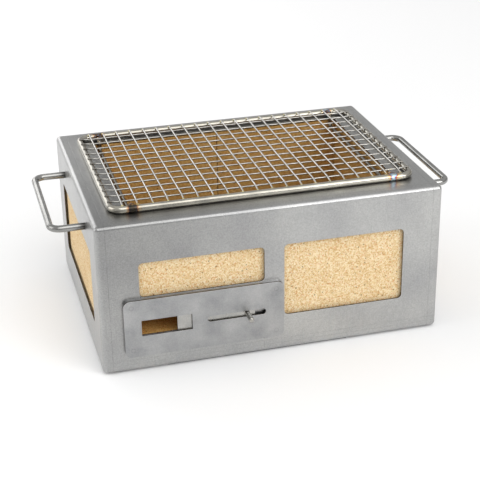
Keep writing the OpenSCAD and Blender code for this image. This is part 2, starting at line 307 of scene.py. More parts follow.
def addLights():
    # places and sizes in metres, powers in watts
    softboxes = {
        "front": {"place": (1.15, -1.7, 0.98), "size": (1.3, 0.62), "power": 13},
        "backLeft": {"place": (-0.95, 1.9, 0.85), "size": (1.8, 1.0), "power": 9},
        "left": {"place": (-1.9, 0.1, 1.0), "size": (1.4, 1.4), "power": 10},
    }
    room = {"horizon": 0.3, "low": 0.52, "mid": 0.64, "top": 0.68, "strength": 1.0}
    daylight = {"strength": 0.95, "softness": 50, "from": (0.1, -0.7, 1.0)}
    for name, values in softboxes.items():
        data = bpy.data.lights.new(name, "AREA")
        data.shape = "RECTANGLE"
        data.size, data.size_y = values["size"]
        data.energy = values["power"]
        light = bpy.data.objects.new(name, data)
        light.location = values["place"]
        light.rotation_euler = (Vector((0, 0, 0.1)) - light.location).to_track_quat("-Z", "Y").to_euler()
        bpy.context.scene.collection.objects.link(light)
    data = bpy.data.lights.new("ceiling", "SUN")
    data.energy = daylight["strength"]
    data.angle = math.radians(daylight["softness"])
    light = bpy.data.objects.new("ceiling", data)
    light.rotation_euler = Vector(daylight["from"]).to_track_quat("Z", "Y").to_euler()
    bpy.context.scene.collection.objects.link(light)
    world = bpy.data.worlds.new("studio")
    world.use_nodes = True
    tree = world.node_tree
    tree.nodes.clear()
    # a white room that is darker towards the horizon
    direction = addNode(tree, "TexCoord").outputs["Generated"]
    height = addNode(tree, "SeparateXYZ", links={0: direction}).outputs[2]
    shade = addNode(tree, "ValToRGB", {"stops": [(0.0, room["horizon"]), (0.3, room["low"]),
                                                 (0.62, room["mid"]), (0.9, room["top"])]}, {0: height})
    sky = addNode(tree, "Background", {"Strength": room["strength"]}, {0: shade.outputs[0]})
    addNode(tree, "OutputWorld", links={0: sky.outputs[0]})
    bpy.context.scene.world = world
    bpy.context.scene.view_settings.view_transform = "Standard"


placeCamera()
addFloor()
addLights()
print("camera, floor and lights placed")


# metals

def grain(tree, place, size, stretch=(1, 1, 1), turn=(0, 0, 0), detail=3.0):
    # noise whose features are this many millimetres wide, drawn out along an axis by stretch
    lay = addNode(tree, "Mapping", {"Rotation": [math.radians(a) for a in turn],
                                    "Scale": [perMetre(size) / s for s in stretch]}, {"Vector": place})
    return addNode(tree, "TexNoise", {"Scale": 1.0, "Detail": detail}, {"Vector": lay.outputs[0]}).outputs[0]


def mixed(tree, kind, amount, first, second):
    # two colours (or a colour and a pattern) mixed; each may be a socket, a hex colour or a grey
    node = addNode(tree, "Mix", {"data_type": "RGBA", "blend_type": kind})
    for index, value in ((0, amount), (6, first), (7, second)):
        if hasattr(value, "is_output"):
            tree.links.new(value, node.inputs[index])
        elif isinstance(value, str):
            node.inputs[index].default_value = hexToLinear(value)
        else:
            node.inputs[index].default_value = value if index == 0 else [value] * 3 + [1]
    return node.outputs[2]


def calculate(tree, operation, first, second=None):
    # one step of arithmetic on patterns or numbers
    node = addNode(tree, "Math", {"operation": operation})
    for index, value in enumerate((first, second)):
        if hasattr(value, "is_output"):
            tree.links.new(value, node.inputs[index])
        elif value is not None:
            node.inputs[index].default_value = value
    return node.outputs[0]


def spread(tree, source, low, high, start=0.3, end=0.7):
    # a pattern's middle range stretched to run from low to high
    limits = {"From Min": start, "From Max": end, "To Min": low, "To Max": high}
    return addNode(tree, "MapRange", limits, {0: source}).outputs[0]


def fade(tree, distance, start, end, strength=1.0):
    # full strength up to the distance start, in mm, and nothing beyond end
    return spread(tree, distance, strength, 0.0, start * mm, end * mm)


def linkBump(tree, shader, height, depth, distance=1.0):
    # relief from a pattern; distance is its full height in mm
    bump = addNode(tree, "Bump", {"Strength": depth, "Distance": distance * mm}, {"Height": height})
    tree.links.new(bump.outputs[0], shader.inputs["Normal"])


def rolledStainless(name, look):
    # 304 stainless sheet, cold rolled and blasted: a soft even grey with a fine grain, long faint
    # scratches from handling and the press brake's marks beside the folds
    material, tree, shader, place = startMaterial(name, {"Metallic": 1.0})
    fine = grain(tree, place, look["grain"])
    scratches = grain(tree, place, look["scratchWidth"], (1, 1, 45), (0, look["scratchTurn"], 0), 2.0)
    clouds = grain(tree, place, look["clouds"], detail=4.0)
    tone = spread(tree, clouds, 0, 1)
    colour = mixed(tree, "MIX", tone, look["dark"], look["light"])
    colour = mixed(tree, "MULTIPLY", look["grainShow"], colour, spread(tree, fine, 0.72, 1.12))
    height = calculate(tree, "ADD", fine, calculate(tree, "MULTIPLY", scratches, 0.6))
    if look.get("brakeMarks"):
        low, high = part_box("outer_casing")
        axes = addNode(tree, "SeparateXYZ", links={0: place})
        marks = None
        for axis, reach in ((0, high.x), (1, high.y)):
            across = calculate(tree, "ABSOLUTE", axes.outputs[axis])
            away = calculate(tree, "SUBTRACT", across, reach - look["brakeMarks"] * mm)
            line = fade(tree, calculate(tree, "ABSOLUTE", away), 0, 0.7)
            marks = line if marks is None else calculate(tree, "MAXIMUM", marks, line)
        for lift in look["footMarks"]:
            away = calculate(tree, "SUBTRACT", axes.outputs[2], low.z + lift * mm)
            line = fade(tree, calculate(tree, "ABSOLUTE", away), 0, 0.6, 0.7)
            marks = calculate(tree, "MAXIMUM", marks, line)
        worn = calculate(tree, "MULTIPLY", marks, spread(tree, grain(tree, place, 14, detail=2.0), 0.2, 1.0))
        colour = mixed(tree, "MULTIPLY", calculate(tree, "MULTIPLY", worn, 0.5), colour, 0.4)
        # painted shade: the front sheet is drawn darker towards its upper left corner
        corner = (-high.x + 25 * mm, -high.y, high.z - 12 * mm)
        reach = addNode(tree, "VectorMath", {"operation": "DISTANCE", 1: corner}, {0: place}).outputs["Value"]
        near = fade(tree, reach, 30, look["paintedCornerShadeReach"], look["paintedCornerShade"])
        facing = spread(tree, axes.outputs[0], 0, 1, -high.x, -high.x + 6 * mm)
        colour = mixed(tree, "MULTIPLY", calculate(tree, "MULTIPLY", near, facing), colour, 0.5)
        height = calculate(tree, "SUBTRACT", height, calculate(tree, "MULTIPLY", worn, 1.2))
    if look.get("spotWelds"):
        # the faint rings that the spot welds behind the plate leave near its corners
        low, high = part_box("vent_cover_plate")
        middle, half = (low + high) / 2, (high - low) / 2
        axes = addNode(tree, "SeparateXYZ", links={0: place})
        aside = calculate(tree, "ABSOLUTE", calculate(tree, "SUBTRACT", axes.outputs[0], middle.x))
        above = calculate(tree, "ABSOLUTE", calculate(tree, "SUBTRACT", axes.outputs[2], middle.z))
        spot = addNode(tree, "CombineXYZ", links={
            0: calculate(tree, "SUBTRACT", aside, half.x - look["spotWelds"][0] * mm),
            1: calculate(tree, "SUBTRACT", above, half.z - look["spotWelds"][1] * mm)})
        away = addNode(tree, "VectorMath", {"operation": "LENGTH"}, {0: spot.outputs[0]}).outputs["Value"]
        fromRing = calculate(tree, "SUBTRACT", away, look["ringRadius"] * mm)
        ring = fade(tree, calculate(tree, "ABSOLUTE", fromRing), 0, 0.9)
        colour = mixed(tree, "MULTIPLY", calculate(tree, "MULTIPLY", ring, 0.25), colour, 0.4)
        height = calculate(tree, "SUBTRACT", height, ring)
    tree.links.new(colour, shader.inputs["Base Color"])
    tree.links.new(spread(tree, scratches, look["gloss"][0], look["gloss"][1]), shader.inputs["Roughness"])
    linkBump(tree, shader, height, look["relief"], 0.12)
    return material


def drawnRod(name, look):
    # drawn stainless rod, polished: bright, with hair-fine streaks along its length
    material, tree, shader, place = startMaterial(name, {"Metallic": 1.0})
    streaks = grain(tree, place, look["streak"], (60, 60, 1), detail=2.0)
    clouds = grain(tree, place, look["clouds"], detail=3.0)
    colour = mixed(tree, "MIX", spread(tree, clouds, 0, 1), look["dark"], look["light"])
    colour = mixed(tree, "MULTIPLY", 0.6, colour, spread(tree, streaks, 0.7, 1.1))
    if look.get("paintedShadeNearCasing"):
        # painted shade: the rod is drawn darker grey near where it goes through the casing
        axes = addNode(tree, "SeparateXYZ", links={0: place})
        out = calculate(tree, "SUBTRACT", calculate(tree, "ABSOLUTE", axes.outputs[0]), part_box("outer_casing")[1].x)
        ragged = calculate(tree, "ADD", out, spread(tree, grain(tree, place, 5, detail=2.0), -0.002, 0.002))
        tinting = fade(tree, ragged, 2, look["paintedShadeNearCasing"], 0.85)
        colour = mixed(tree, "MIX", tinting, colour, "#4c4a48")
    tree.links.new(colour, shader.inputs["Base Color"])
    tree.links.new(spread(tree, streaks, look["gloss"][0], look["gloss"][1]), shader.inputs["Roughness"])
    linkBump(tree, shader, streaks, look["relief"], 0.1)
    return material


def heatTint(tree, distance, colours, reach):
    # oxide colours of heated stainless, from the weld outwards
    where = calculate(tree, "MULTIPLY", distance, 1 / (reach * mm))
    return addNode(tree, "ValToRGB", {"stops": colours}, {0: where}).outputs[0]


def grateSteel(name, look):
    # stainless rod and wire, electropolished and spot welded: a warm bright metal, with straw, purple and
    # blue oxide around the welds
    weldHeat = {"full": 4.5, "reach": 9, "alongRunner": 0.55}
    material, tree, shader, place = startMaterial(name, {"Metallic": 1.0})
    low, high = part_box("grate_frame")
    rod = (high.z - low.z) / 2
    streaks = grain(tree, place, look["streak"], (50, 50, 1), detail=2.0)
    clouds = grain(tree, place, look["clouds"], detail=4.0)
    base = mixed(tree, "MIX", spread(tree, clouds, 0, 1), look["dark"], look["light"])
    base = mixed(tree, "MULTIPLY", 0.5, base, spread(tree, streaks, 0.75, 1.08))
    axes = addNode(tree, "SeparateXYZ", links={0: place})
    edgeX = calculate(tree, "SUBTRACT", high.x - rod, calculate(tree, "ABSOLUTE", axes.outputs[0]))
    edgeY = calculate(tree, "SUBTRACT", high.y - rod, calculate(tree, "ABSOLUTE", axes.outputs[1]))
    # oxide where the locating runners are welded on
    runnerLow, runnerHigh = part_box("grate_runner_right")
    across = calculate(tree, "ABSOLUTE", axes.outputs[0])
    aside = calculate(tree, "SUBTRACT", across, (runnerLow.x + runnerHigh.x) / 2)
    # heat runs further along the runner than along the frame
    along = calculate(tree, "MULTIPLY", edgeY, weldHeat["alongRunner"])
    spot = addNode(tree, "CombineXYZ", links={0: aside, 1: along})
    away = addNode(tree, "VectorMath", {"operation": "LENGTH"}, {0: spot.outputs[0]}).outputs["Value"]
    ragged = calculate(tree, "ADD", away, spread(tree, grain(tree, place, 6, detail=3.0), -0.002, 0.002))
    shown = fade(tree, ragged, weldHeat["full"], weldHeat["reach"])
    tints = [heatTint(tree, ragged, look[kind], weldHeat["reach"]) for kind in ("burnt", "tint")]
    tint = mixed(tree, "MIX", calculate(tree, "GREATER_THAN", axes.outputs[0], 0.0), tints[0], tints[1])
    colour = mixed(tree, "MIX", shown, base, tint)
    # straw where the cross wires end, and burnt darker where the long wires do
    for edge, tinting in ((edgeY, "straw"), (edgeX, "burn")):
        near = fade(tree, calculate(tree, "ABSOLUTE", edge), 3.5, look["strawReach"], look[tinting])
        patchy = calculate(tree, "MULTIPLY", near, spread(tree, grain(tree, place, 9, detail=3.0), 0.35, 1.0))
        colour = mixed(tree, "MIX", patchy, colour, look[tinting + "Colour"])
    tree.links.new(colour, shader.inputs["Base Color"])
    tree.links.new(spread(tree, streaks, look["gloss"][0], look["gloss"][1]), shader.inputs["Roughness"])
    linkBump(tree, shader, streaks, look["relief"], 0.1)
    return material


def weldMetal(name, look):
    # weld bead left as it was made: rippled, dull grey with brown and blue oxide
    material, tree, shader, place = startMaterial(name, {"Metallic": 1.0, "Roughness": look["roughness"]})
    patches = grain(tree, place, look["patch"], detail=3.0)
    tint = addNode(tree, "ValToRGB", {"stops": look["colours"]}, {0: patches}).outputs[0]
    tree.links.new(tint, shader.inputs["Base Color"])
    linkBump(tree, shader, grain(tree, place, look["ripple"], detail=2.0), 0.5, 0.3)
    return material


def fireBrick(name, look):
    # insulating fire brick, pressed from crushed clay and fired: matt and open, with cream, tan and rust
    # coloured grains and small dark pits
    material, tree, shader, place = startMaterial(name, {"Roughness": 0.94, "Specular IOR Level": 0.2})
    bent = addNode(tree, "TexNoise", {"Scale": perMetre(look["grain"]) / 2, "Detail": 2.0}, {"Vector": place})
    shifted = addNode(tree, "VectorMath", {"operation": "MULTIPLY_ADD", 1: [0.0012] * 3},
                      {0: bent.outputs["Color"], 2: place}).outputs[0]
    cells = addNode(tree, "TexVoronoi", {"Scale": perMetre(look["grain"])}, {"Vector": shifted})
    pick = addNode(tree, "SeparateColor", links={0: cells.outputs["Color"]})
    colour = addNode(tree, "ValToRGB", {"stops": look["grains"]}, {0: pick.outputs[0]}).outputs[0]
    crumbs = grain(tree, place, look["grain"] / 2, detail=3.0)
    colour = mixed(tree, "MULTIPLY", 0.45, colour, spread(tree, crumbs, 0.76, 1.14))
    clouds = grain(tree, place, look["clouds"], detail=3.0)
    colour = mixed(tree, "MULTIPLY", look["cloudShow"], colour, addNode(
        tree, "ValToRGB", {"stops": [(0.3, "#e9d9bb"), (0.7, "#ffffff")]}, {0: clouds}).outputs[0])
    # dark pits in a few of the grains
    holes = addNode(tree, "TexVoronoi", {"Scale": perMetre(look["pitSpacing"])}, {"Vector": shifted})
    lot = addNode(tree, "SeparateColor", links={0: holes.outputs["Color"]}).outputs[1]
    reach = look["pitSize"] / look["pitSpacing"]
    rim = spread(tree, holes.outputs["Distance"], 1.0, 0.0, reach * 0.6, reach)
    pit = calculate(tree, "MULTIPLY", rim, calculate(tree, "GREATER_THAN", lot, look["pitShare"]))
    colour = mixed(tree, "MIX", calculate(tree, "MULTIPLY", pit, 0.75), colour, look["pitColour"])
    # painted shade: all but the outward faces are drawn a darker, warmer brown for the shade inside the firebox
    axes = addNode(tree, "SeparateXYZ", links={0: place})
    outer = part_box("side_brick_right")[1].copy()
    outer.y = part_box("back_brick_left")[1].y
    insideX = calculate(tree, "LESS_THAN", calculate(tree, "ABSOLUTE", axes.outputs[0]), outer.x - 1.2 * mm)
    insideY = calculate(tree, "LESS_THAN", calculate(tree, "ABSOLUTE", axes.outputs[1]), outer.y - 1.2 * mm)
    colour = mixed(tree, "MULTIPLY", calculate(tree, "MULTIPLY", insideX, insideY), colour, look["paintedInnerShade"])
    tree.links.new(colour, shader.inputs["Base Color"])
    height = calculate(tree, "SUBTRACT", calculate(tree, "ADD", crumbs, cells.outputs["Distance"]), pit)
    linkBump(tree, shader, height, look["relief"], 0.6)
    return material


# the sheets' grain, 0.1 to 0.3 mm on real steel, is drawn coarser so that it shows
casingSteel = rolledStainless("casingColdRolledStainless", {
    "dark": "#adadad", "light": "#bdbdbb", "grain": 1.3, "grainShow": 0.6, "scratchWidth": 1.1,
    "scratchTurn": -38, "clouds": 55, "gloss": (0.36, 0.27), "relief": 0.6,
    "brakeMarks": 11.5, "footMarks": (8.5, 14.0), "paintedCornerShade": 0.6, "paintedCornerShadeReach": 210})
# tumbled smooth after cutting: a shade darker and softer, with faint rings from the spot welds behind
coverSteel = rolledStainless("coverTumbledStainless", {
    "dark": "#9b9c9d", "light": "#b3b3b3", "grain": 1.4, "grainShow": 0.35, "scratchWidth": 1.5,
    "scratchTurn": 82, "clouds": 24, "gloss": (0.42, 0.32), "relief": 0.35, "spotWelds": (9.0, 8.5),
    "ringRadius": 2.4})
# brushed by its own sliding: the brightest of the sheets
sliderSteel = rolledStainless("sliderBrushedStainless", {
    "dark": "#a9a9a6", "light": "#b9b8b4", "grain": 1.0, "grainShow": 0.3, "scratchWidth": 0.8,
    "scratchTurn": 90, "clouds": 12, "gloss": (0.34, 0.26), "relief": 0.3})
# left in mill finish under the casing; drawn a dull dark grey, partly mill finish and partly painted shade for the
# shadow under the casing
baseShadedSteel = rolledStainless("baseMillPaintedShadeStainless", {
    "dark": "#7c7d80", "light": "#939497", "grain": 1.5, "grainShow": 0.4, "scratchWidth": 1.4,
    "scratchTurn": 12, "clouds": 70, "gloss": (0.5, 0.38), "relief": 0.35})
# bar and rod: the handles with painted shade near the casing, the stud turned bright, the screws zinc plated
handleSteel = drawnRod("handleDrawnStainless", {
    "dark": "#8f8f8d", "light": "#b0afac", "streak": 0.7, "clouds": 22, "gloss": (0.26, 0.16), "relief": 0.25,
    "paintedShadeNearCasing": 9.0})
studSteel = drawnRod("studTurnedStainless", {
    "dark": "#a4a29d", "light": "#c2bfb8", "streak": 0.5, "clouds": 6, "gloss": (0.2, 0.12), "relief": 0.15})
screwSteel = drawnRod("screwZincPlatedSteel", {
    "dark": "#8d8f93", "light": "#b6b8bb", "streak": 0.4, "clouds": 2, "gloss": (0.38, 0.26), "relief": 0.2})
# oxide colours outwards from a weld: scorched on the left side, and light blue to straw on the right
burntOxides = [(0.0, "#4b4947"), (0.25, "#2c2a2a"), (0.42, "#333643"), (0.5, "#4a2f2c"), (0.6, "#8a4f24"),
               (0.78, "#b98d4c"), (1.0, "#c4bca6")]
oxides = [(0.0, "#dbe6e6"), (0.22, "#b7d3dd"), (0.34, "#7f9fc4"), (0.42, "#7a5478"), (0.5, "#ae5a3c"),
          (0.62, "#d0a05e"), (0.85, "#cabc98")]
# the grate's frame is polished brightest; the cross wires are a lighter copy of the wire steel as painted light, the
# long wires a darker copy as painted shade, and the runners darker still as painted shade
frameSteel = grateSteel("grateRodElectropolished", {
    "dark": "#a3a19a", "light": "#c6c3b9", "streak": 0.8, "clouds": 18, "gloss": (0.22, 0.16), "relief": 0.03,
    "tint": oxides, "burnt": burntOxides, "straw": 0.12, "strawReach": 5, "strawColour": "#b39a66",
    "burn": 0.2, "burnColour": "#6b5a44"})
# painted shade: the wire steel drawn darker for the long wires
longWireShadedSteel = grateSteel("longWireShadedCopyStainless", {
    "dark": "#a3a19c", "light": "#c3c1bc", "streak": 0.5, "clouds": 9, "gloss": (0.3, 0.2), "relief": 0.15,
    "tint": oxides, "burnt": burntOxides, "straw": 0.6, "strawReach": 7, "strawColour": "#a8905c",
    "burn": 0.9, "burnColour": "#3d362e"})
# painted light: the same wire steel drawn lighter for the cross wires
crossWireLitSteel = grateSteel("crossWireLitCopyStainless", {
    "dark": "#bdbbb7", "light": "#dddbd7", "streak": 0.5, "clouds": 9, "gloss": (0.3, 0.2), "relief": 0.15,
    "tint": oxides, "burnt": burntOxides, "straw": 0.6, "strawReach": 7, "strawColour": "#a8905c",
    "burn": 0.9, "burnColour": "#3d362e"})
# painted shade: the runners drawn darker than the frame
runnerShadedSteel = grateSteel("runnerRodPaintedShade", {
    "dark": "#78756f", "light": "#9a958c", "streak": 0.8, "clouds": 12, "gloss": (0.36, 0.28), "relief": 0.1,
    "tint": oxides, "burnt": burntOxides, "straw": 0.3, "strawReach": 5, "strawColour": "#8c774c",
    "burn": 0.0, "burnColour": "#6b5a44"})
# beads at the long wires and runners are scorched, those at the cross wires straw coloured
weldSteel = weldMetal("weldBeadOxidised", {
    "roughness": 0.42, "patch": 2.5, "ripple": 0.8,
    "colours": [(0.3, "#2e2b31"), (0.42, "#5a4332"), (0.5, "#8a6f45"), (0.58, "#4c5a78"), (0.7, "#8f8b86")]})
wireWeldSteel = weldMetal("weldSpotStraw", {
    "roughness": 0.35, "patch": 3.0, "ripple": 0.9,
    "colours": [(0.3, "#94885a"), (0.45, "#c9bb6c"), (0.6, "#dbd394"), (0.75, "#c4c0ae")]})
# grains of 1 to 1.5 mm, pits of 1 mm
wallBrick = fireBrick("wallInsulatingBrick", {
    "grain": 1.25, "clouds": 30, "cloudShow": 0.25, "pitSpacing": 6.5, "pitSize": 1.0, "pitShare": 0.6,
    "pitColour": "#6e5836", "relief": 0.5, "paintedInnerShade": "#ecd3a2",
    "grains": [(0.0, "#cfaa76"), (0.15, "#dfc08e"), (0.4, "#e8cfa2"), (0.62, "#efdab2"), (0.82, "#f4e5c6"),
               (0.93, "#e0ad7c"), (1.0, "#c39a67")]})
# mild steel plate and rod blackened by the fire: dark, warm and rough
charcoalSteel = rolledStainless("charcoalGrateMildSteel", {
    "dark": "#4a4644", "light": "#6d6864", "grain": 1.4, "grainShow": 0.5, "scratchWidth": 1.2,
    "scratchTurn": 35, "clouds": 24, "gloss": (0.55, 0.4), "relief": 0.4})
# edges as the laser left them, finely ridged; their brown-black is thin oxide and also painted shade and painted
# reflection of the dark gaps behind the window and vent edges
cutEdge = weldMetal("laserCutEdge", {
    "roughness": 0.55, "patch": 1.5, "ripple": 0.6,
    "colours": [(0.3, "#2a241c"), (0.5, "#4a3f2f"), (0.7, "#6b6152")]})
print("materials made")


# the casing

def buildCasing():
    casing = {"sheet": 2.0, "fold": 5.0, "rim": 42.5, "flange": 20.0, "windowLength": 142.6, "windowGap": 23.2,
              "windowTop": 132.5, "windowBottom": 44.0, "ventWindowBottom": 91.0, "windowRadius": 5.0,
              "endInset": 44.0, "airHole": (60.0, 22.0), "airHolePlace": (-126.05, 55.0), "legSpan": 160.0,
              "legHeight": 153.5, "legHole": 8.3, "screwHole": 3.0, "screwInset": 13.0, "screwSpacing": 150.0,
              "brokenEdge": 0.2}
    low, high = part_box("outer_casing")
    sheet = casing["sheet"] * mm
    size = high - low
    bm = bmesh.new()
    for shrink, radius, steps in ((0, casing["fold"], 8), (sheet, casing["fold"] - casing["sheet"], 5)):
        made = bmesh.ops.create_cube(bm, size=1)
        for v in made["verts"]:
            v.co = (low + high) / 2 + Vector([v.co[i] * (size[i] - 2 * shrink) for i in range(3)])
        edges = list({e for v in made["verts"] for e in v.link_edges})
        bevelled = bmesh.ops.bevel(bm, geom=edges, offset=radius * mm, segments=steps, affect="EDGES", profile=0.5)
        if shrink:
            inner = {f for v in bevelled["verts"] for f in v.link_faces}
            bmesh.ops.reverse_faces(bm, faces=list(inner))
    front = lambda u, v, d: Vector((u, low.y + d, v))
    back = lambda u, v, d: Vector((u, high.y - d, v))
    left = lambda u, v, d: Vector((low.x + d, u, v))
    right = lambda u, v, d: Vector((high.x - d, u, v))
    top = lambda u, v, d: Vector((u, v, high.z - d))
    bottom = lambda u, v, d: Vector((u, v, low.z + d))
    side = (casing["windowLength"] + casing["windowGap"]) / 2
    tall = (casing["windowBottom"], casing["windowTop"])
    short = (casing["ventWindowBottom"], casing["windowTop"])
    holes = []
    windows = ((front, -side, short), (front, side, tall), (back, -side, tall), (back, side, tall))
    for place, x, (foot, head) in windows:
        holes.append((place, (x, (foot + head) / 2), (casing["windowLength"], head - foot), casing["windowRadius"]))
    for place in (left, right):
        width = size.y / mm - 2 * casing["endInset"]
        holes.append((place, (0, sum(tall) / 2), (width, tall[1] - tall[0]), casing["windowRadius"]))
        for sy in (-1, 1):
            holes.append((place, (sy * casing["legSpan"] / 2, casing["legHeight"]), (casing["legHole"],) * 2,
                          casing["legHole"] / 2))
    holes.append((front, casing["airHolePlace"], casing["airHole"], 0.5))
    lift = low.z / mm
    cutters = bmesh.new()
    for place, (u, v), (wide, tallness), radius in holes:
        addSlab(cutters, place, (u * mm, (v + lift) * mm), (wide * mm, tallness * mm), radius * mm, (0, sheet),
                casing["brokenEdge"] * mm, True)
    for place, inset, radius in ((top, casing["rim"], 0.6), (bottom, casing["flange"], 1.0)):
        addSlab(cutters, place, (0, 0), (size.x - 2 * inset * mm, size.y - 2 * inset * mm), radius * mm, (0, sheet),
                casing["brokenEdge"] * mm, True)
    inset = casing["screwInset"] * mm
    screws = [(sx * casing["screwSpacing"] * mm, sy * (high.y - inset)) for sx in (-1, 0, 1) for sy in (-1, 1)]
    for x, y in screws + [(sx * (high.x - inset), 0) for sx in (-1, 1)]:
        addSlab(cutters, bottom, (x, y), (casing["screwHole"] * mm,) * 2, casing["screwHole"] / 2 * mm, (0, sheet),
                0.1 * mm, True, 4)
    addPiece("folded_casing", cutAway(bm, cutters), sheetEdges, casingSteel, "casing",
             ["outer_casing"], cutEdge)


# bricks

def brickSolid(low, high, seed):
    # a pressed brick: flat faces a little uneven, edges rounded and chipped, never outside its box
    wear = {"round": 0.8, "step": 3.2, "uneven": 0.22, "chip": 1.5, "chipLength": 9.0}
    radius = wear["round"] * mm
    shift = Vector((seed * 1.37, seed * 2.11, seed * 0.73))
    ticks = []
    for i in range(3):
        a, b = low[i], high[i]
        count = max(2, round((b - a - 2 * radius) / (wear["step"] * mm)))
        inner = [a + radius + (b - a - 2 * radius) * k / count for k in range(count + 1)]
        ticks.append([a, a + 0.42 * radius] + inner + [b - 0.42 * radius, b])
    bm = bmesh.new()
    verts = {}

    def corner(i, j, k):
        if (i, j, k) not in verts:
            p = Vector((ticks[0][i], ticks[1][j], ticks[2][k]))
            core = Vector([min(max(p[n], low[n] + radius), high[n] - radius) for n in range(3)])
            out = (p - core).normalized()
            depth = wear["uneven"] * mm * (0.5 + 0.5 * noise.noise(p * perMetre(4) + shift))
            if sum(abs(p[n] - core[n]) > 1e-7 for n in range(3)) > 1:
                bite = noise.noise(p * perMetre(wear["chipLength"]) + shift) - 0.12
                depth += max(0, bite) * wear["chip"] * mm
            verts[i, j, k] = bm.verts.new(core + out * (radius - depth))
        return verts[i, j, k]

    ends = [len(t) - 1 for t in ticks]
    for axis in range(3):
        a, b = [n for n in range(3) if n != axis]
        for end in (0, ends[axis]):
            for i in range(ends[a]):
                for j in range(ends[b]):
                    index = []
                    for di, dj in ((0, 0), (1, 0), (1, 1), (0, 1)):
                        key = [0, 0, 0]
                        key[axis], key[a], key[b] = end, i + di, j + dj
                        index.append(corner(*key))
                    bm.faces.new(index)
    return bm


def buildBricks():
    tunnel = {"width": 60.0, "top": 68.5, "centre": -126.05, "corner": 1.5, "edge": 0.8}
    names = [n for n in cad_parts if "brick" in n]
    for seed, name in enumerate(sorted(names)):
        low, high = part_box(name)
        bm = brickSolid(low, high, seed + 1)
        if name == "front_brick_left":
            bmesh.ops.recalc_face_normals(bm, faces=bm.faces)
            foot = low.z - 10 * mm
            cutters = bmesh.new()
            middle = (tunnel["centre"] * mm, (foot + tunnel["top"] * mm) / 2)
            opening = (tunnel["width"] * mm, tunnel["top"] * mm - foot)
            addSlab(cutters, upright, middle, opening, tunnel["corner"] * mm, (low.y, high.y),
                    tunnel["edge"] * mm, True)
            bm = cutAway(bm, cutters)
        addPiece(name + "_pressed", bm, rodEdges, wallBrick, "casing", [name])


# the air vent

def buildVent():
    vent = {"coverRadius": 7.5, "hole": (57.5, 19.0), "holeAside": -43.55, "slot": (67.8, 7.0), "slotAside": 36.8,
            "edge": 0.3}
    low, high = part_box("vent_cover_plate")
    middle = ((low.x + high.x) / 2, (low.z + high.z) / 2)
    bm = bmesh.new()
    addSlab(bm, upright, middle, (high.x - low.x, high.z - low.z), vent["coverRadius"] * mm, (low.y, high.y),
            vent["edge"] * mm, steps=12)
    cutters = bmesh.new()
    addSlab(cutters, upright, (middle[0] + vent["holeAside"] * mm, middle[1]), [s * mm for s in vent["hole"]],
            0.4 * mm, (low.y, high.y), 0.2 * mm, True)
    addSlab(cutters, upright, (middle[0] + vent["slotAside"] * mm, middle[1]), [s * mm for s in vent["slot"]],
            vent["slot"][1] / 2 * mm, (low.y, high.y), 0.2 * mm, True, 12)
    bmesh.ops.recalc_face_normals(bm, faces=bm.faces)
    addPiece("vent_cover", cutAway(bm, cutters), sheetEdges, coverSteel, "casing",
             ["vent_cover_plate"], cutEdge)
    low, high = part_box("vent_slider")
    bm = bmesh.new()
    addSlab(bm, upright, ((low.x + high.x) / 2, (low.z + high.z) / 2), (high.x - low.x, high.z - low.z), 0.8 * mm,
            (low.y, high.y), vent["edge"] * mm, steps=4)
    addPiece("slider_plate", bm, sheetEdges, sliderSteel, "vent_shutter",
             ["vent_slider"])


def buildStud():
    # turned from bar: a small fillet at its foot, a straight shank and a domed end
    stud = {"fillet": 0.4, "dome": 1.7, "flat": 0.9, "sides": 40}
    low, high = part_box("slider_stud")
    radius = (high.x - low.x) / 2
    x, z = (low.x + high.x) / 2, (low.z + high.z) / 2
    dome, flat = stud["dome"] * mm, stud["flat"] * mm
    profile = [(radius + stud["fillet"] * mm * (1 - math.sin(a)), high.y - stud["fillet"] * mm * (1 - math.cos(a)))
               for a in (0, 0.5, 1.0, math.pi / 2)]
    profile += [(flat + (radius - flat) * math.cos(a), low.y + dome * (1 - math.sin(a)))
                for a in (math.pi / 2 * k / 8 for k in range(9))]
    bm = bmesh.new()
    rings = []
    for r, y in profile:
        rings.append([Vector((x + r * math.cos(a), y, z + r * math.sin(a)))
                      for a in (2 * math.pi * k / stud["sides"] for k in range(stud["sides"]))])
    addLoft(bm, rings)
    addPiece("stud", bm, sheetEdges, studSteel, "vent_shutter", ["slider_stud"])


# handles

def buildHandles():
    handle = {"bend": 12.0, "endRound": 0.8}
    for name in ("handle_left", "handle_right"):
        low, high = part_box(name)
        radius = (high.z - low.z) / 2
        z = (high.z + low.z) / 2
        foot, grip = (low.x, high.x - radius) if name == "handle_right" else (high.x, low.x + radius)
        y = high.y - radius
        bm = bmesh.new()
        corners = [(foot, -y, z), (grip, -y, z), (grip, y, z), (foot, y, z)]
        path = bentPath(corners, handle["bend"] * mm, steps=14)
        sweepRod(bm, path, radius, 32, endRound=handle["endRound"] * mm)
        addPiece(name + "_rod", bm, rodEdges, handleSteel, "casing", [name])


# the cooking grate

def smooth(t):
    # eases from 0 to 1 as t does
    t = min(max(t, 0), 1)
    return t * t * (3 - 2 * t)


